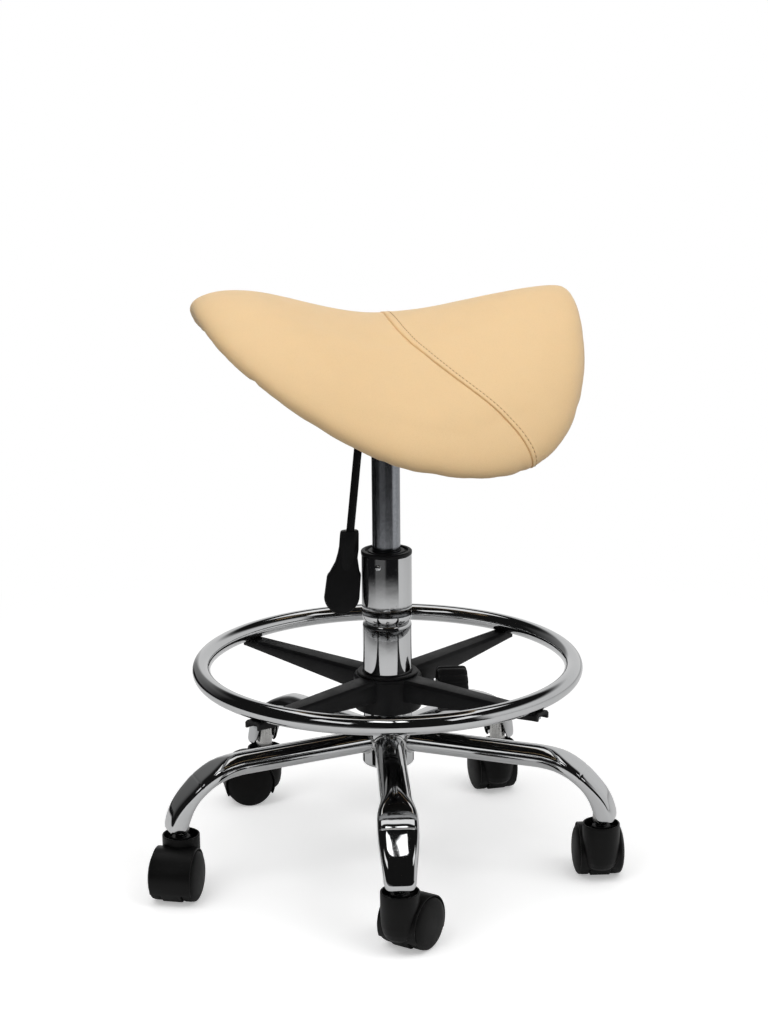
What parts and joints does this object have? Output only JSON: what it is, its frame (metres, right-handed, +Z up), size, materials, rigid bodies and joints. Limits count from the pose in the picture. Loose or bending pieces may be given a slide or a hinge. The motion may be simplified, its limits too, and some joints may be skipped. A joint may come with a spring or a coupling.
{
  "type": "adjustable swivel stool",
  "caption": "Saddle seat on a height-adjustable gas column, with a clamped foot ring and a five-legged rolling base.",
  "frame": {"origin": "on the swivel axis at floor level, under the casters", "axes": "+Z up along the swivel axis; the seat's nose points to -Y and its rear to +Y"},
  "size_m": [0.458, 0.4767, 0.5905],
  "materials": {
    "seat_leather": "soft satin synthetic leather with a fine grain",
    "seat_foam": "open-cell cushion foam",
    "board_black": "moulded shell, dull black",
    "plywood": "plain plywood",
    "chrome": "polished chrome plate on steel tube",
    "rod_steel": "dark blued steel, lightly mottled",
    "zinc_steel": "zinc-plated steel",
    "bright_steel": "ground steel",
    "black_powder": "black powder coat, low sheen",
    "black_plastic": "fine-textured black moulded plastic",
    "caster_plastic": "black nylon with a fine satin texture",
    "bumper_rubber": "black rubber",
    "brass_part": "turned brass"
  },
  "bodies": {
    "base": {"base_hub": "chrome", "leg_1": "chrome", "leg_2": "chrome", "leg_3": "chrome", "leg_4": "chrome", "leg_5": "chrome", "stem_sockets": "zinc_steel", "column_tube": "chrome", "tube_rivet": "chrome", "top_bushing": "black_plastic"},
    "swivel": {"piston_rod": "bright_steel", "piston": "black_plastic", "thrust_bearing": "zinc_steel", "rubber_bumper": "bumper_rubber", "base_clip": "zinc_steel"},
    "seat": {"pressure_tube": "rod_steel", "rod_guide": "black_plastic", "valve_body": "brass_part", "seat_socket": "black_powder", "seat_plate": "black_powder", "seat_bolts": "zinc_steel", "t_nuts": "zinc_steel", "mount_block": "plywood", "seat_board": "board_black", "seat_foam": "seat_foam", "front_cover": "seat_leather", "rear_cover": "seat_leather", "lever_pivot": "bright_steel"},
    "valve": {"valve_pin": "bright_steel"},
    "lever": {"lever_rod": "black_powder", "lever_paddle": "black_plastic"},
    "ring_carrier": {"ring_liner": "black_plastic"},
    "foot_rest": {"spider": "black_plastic", "foot_ring": "chrome", "ring_screws": "zinc_steel", "clamp_nut": "brass_part"},
    "clamp_pad": {"clamp_shoe": "brass_part"},
    "clamp_handle": {"clamp_stud": "zinc_steel", "clamp_knob": "black_plastic"},
    "caster_1": {"caster_1_hood": "caster_plastic", "caster_1_pins": "bright_steel"},
    "caster_1_wheel_a_body": {"caster_1_wheel_a": "caster_plastic"},
    "caster_1_wheel_b_body": {"caster_1_wheel_b": "caster_plastic"},
    "caster_2": {"caster_2_hood": "caster_plastic", "caster_2_pins": "bright_steel"},
    "caster_2_wheel_a_body": {"caster_2_wheel_a": "caster_plastic"},
    "caster_2_wheel_b_body": {"caster_2_wheel_b": "caster_plastic"},
    "caster_3": {"caster_3_hood": "caster_plastic", "caster_3_pins": "bright_steel"},
    "caster_3_wheel_a_body": {"caster_3_wheel_a": "caster_plastic"},
    "caster_3_wheel_b_body": {"caster_3_wheel_b": "caster_plastic"},
    "caster_4": {"caster_4_hood": "caster_plastic", "caster_4_pins": "bright_steel"},
    "caster_4_wheel_a_body": {"caster_4_wheel_a": "caster_plastic"},
    "caster_4_wheel_b_body": {"caster_4_wheel_b": "caster_plastic"},
    "caster_5": {"caster_5_hood": "caster_plastic", "caster_5_pins": "bright_steel"},
    "caster_5_wheel_a_body": {"caster_5_wheel_a": "caster_plastic"},
    "caster_5_wheel_b_body": {"caster_5_wheel_b": "caster_plastic"}
  },
  "joints": [
    {"name": "seat_swivel", "type": "hinge", "parent": "base", "child": "swivel", "pos_m": [0, 0, 0.3], "axis": [0, 0, 1], "continuous": true},
    {"name": "seat_height", "type": "slide", "parent": "swivel", "child": "seat", "axis": [0, 0, 1], "range_m": [-0.03, 0.1]},
    {"name": "lever_lift", "type": "hinge", "parent": "seat", "child": "lever", "pos_m": [0, -0.015, 0.4844], "axis": [-1, 0, 0], "range_deg": [0, 7], "stiffness_Nm_per_rad": 8, "springref_deg": -2.86},
    {"name": "valve_press", "type": "slide", "parent": "seat", "child": "valve", "axis": [0, 0, -1], "range_m": [0, 0.002]},
    {"name": "ring_height", "type": "slide", "parent": "base", "child": "ring_carrier", "axis": [0, 0, 1], "range_m": [-0.008, 0.028]},
    {"name": "ring_turn", "type": "hinge", "parent": "ring_carrier", "child": "foot_rest", "pos_m": [0, 0, 0.18], "axis": [0, 0, 1], "continuous": true},
    {"name": "clamp_press", "type": "slide", "parent": "foot_rest", "child": "clamp_pad", "axis": [0.1392, 0.9903, 0], "range_m": [0, 0.0025]},
    {"name": "clamp_turn", "type": "hinge", "parent": "clamp_pad", "child": "clamp_handle", "pos_m": [0.00696, 0.04951, 0.181], "axis": [0.1392, 0.9903, 0], "range_deg": [0, 720]},
    {"name": "caster_1_swivel", "type": "hinge", "parent": "base", "child": "caster_1", "pos_m": [0.2155, -0.03606, 0.055], "axis": [0, 0, 1], "continuous": true},
    {"name": "caster_1_roll_a", "type": "hinge", "parent": "caster_1", "child": "caster_1_wheel_a_body", "pos_m": [0.20207, -0.02263, 0.025], "axis": [-0.7071, -0.7071, 0], "continuous": true},
    {"name": "caster_1_roll_b", "type": "hinge", "parent": "caster_1", "child": "caster_1_wheel_b_body", "pos_m": [0.20207, -0.02263, 0.025], "axis": [-0.7071, -0.7071, 0], "continuous": true},
    {"name": "caster_2_swivel", "type": "hinge", "parent": "base", "child": "caster_2", "pos_m": [0.10089, 0.19381, 0.055], "axis": [0, 0, 1], "continuous": true},
    {"name": "caster_2_roll_a", "type": "hinge", "parent": "caster_2", "child": "caster_2_wheel_a_body", "pos_m": [0.08213, 0.19678, 0.025], "axis": [-0.1564, -0.9877, 0], "continuous": true},
    {"name": "caster_2_roll_b", "type": "hinge", "parent": "caster_2", "child": "caster_2_wheel_b_body", "pos_m": [0.08213, 0.19678, 0.025], "axis": [-0.1564, -0.9877, 0], "continuous": true},
    {"name": "caster_3_swivel", "type": "hinge", "parent": "base", "child": "caster_3", "pos_m": [-0.15315, 0.15585, 0.055], "axis": [0, 0, 1], "continuous": true},
    {"name": "caster_3_roll_a", "type": "hinge", "parent": "caster_3", "child": "caster_3_wheel_a_body", "pos_m": [-0.17214, 0.15518, 0.025], "axis": [0.0349, -0.9994, 0], "continuous": true},
    {"name": "caster_3_roll_b", "type": "hinge", "parent": "caster_3", "child": "caster_3_wheel_b_body", "pos_m": [-0.17214, 0.15518, 0.025], "axis": [0.0349, -0.9994, 0], "continuous": true},
    {"name": "caster_4_swivel", "type": "hinge", "parent": "base", "child": "caster_4", "pos_m": [-0.19554, -0.09749, 0.055], "axis": [0, 0, 1], "continuous": true},
    {"name": "caster_4_roll_a", "type": "hinge", "parent": "caster_4", "child": "caster_4_wheel_a_body", "pos_m": [-0.19587, -0.11649, 0.025], "axis": [0.9998, -0.0175, 0], "continuous": true},
    {"name": "caster_4_roll_b", "type": "hinge", "parent": "caster_4", "child": "caster_4_wheel_b_body", "pos_m": [-0.19587, -0.11649, 0.025], "axis": [0.9998, -0.0175, 0], "continuous": true},
    {"name": "caster_5_swivel", "type": "hinge", "parent": "base", "child": "caster_5", "pos_m": [0.0323, -0.2161, 0.055], "axis": [0, 0, 1], "continuous": true},
    {"name": "caster_5_roll_a", "type": "hinge", "parent": "caster_5", "child": "caster_5_wheel_a_body", "pos_m": [0.04979, -0.22352, 0.025], "axis": [0.3907, 0.9205, 0], "continuous": true},
    {"name": "caster_5_roll_b", "type": "hinge", "parent": "caster_5", "child": "caster_5_wheel_b_body", "pos_m": [0.04979, -0.22352, 0.025], "axis": [0.3907, 0.9205, 0], "continuous": true}
  ],
  "couplings": [
    {"joint": "valve_press", "follows": "lever_lift", "m_per_rad": 0.015},
    {"joint": "clamp_press", "follows": "clamp_turn", "m_per_rad": 0.00019894}
  ]
}
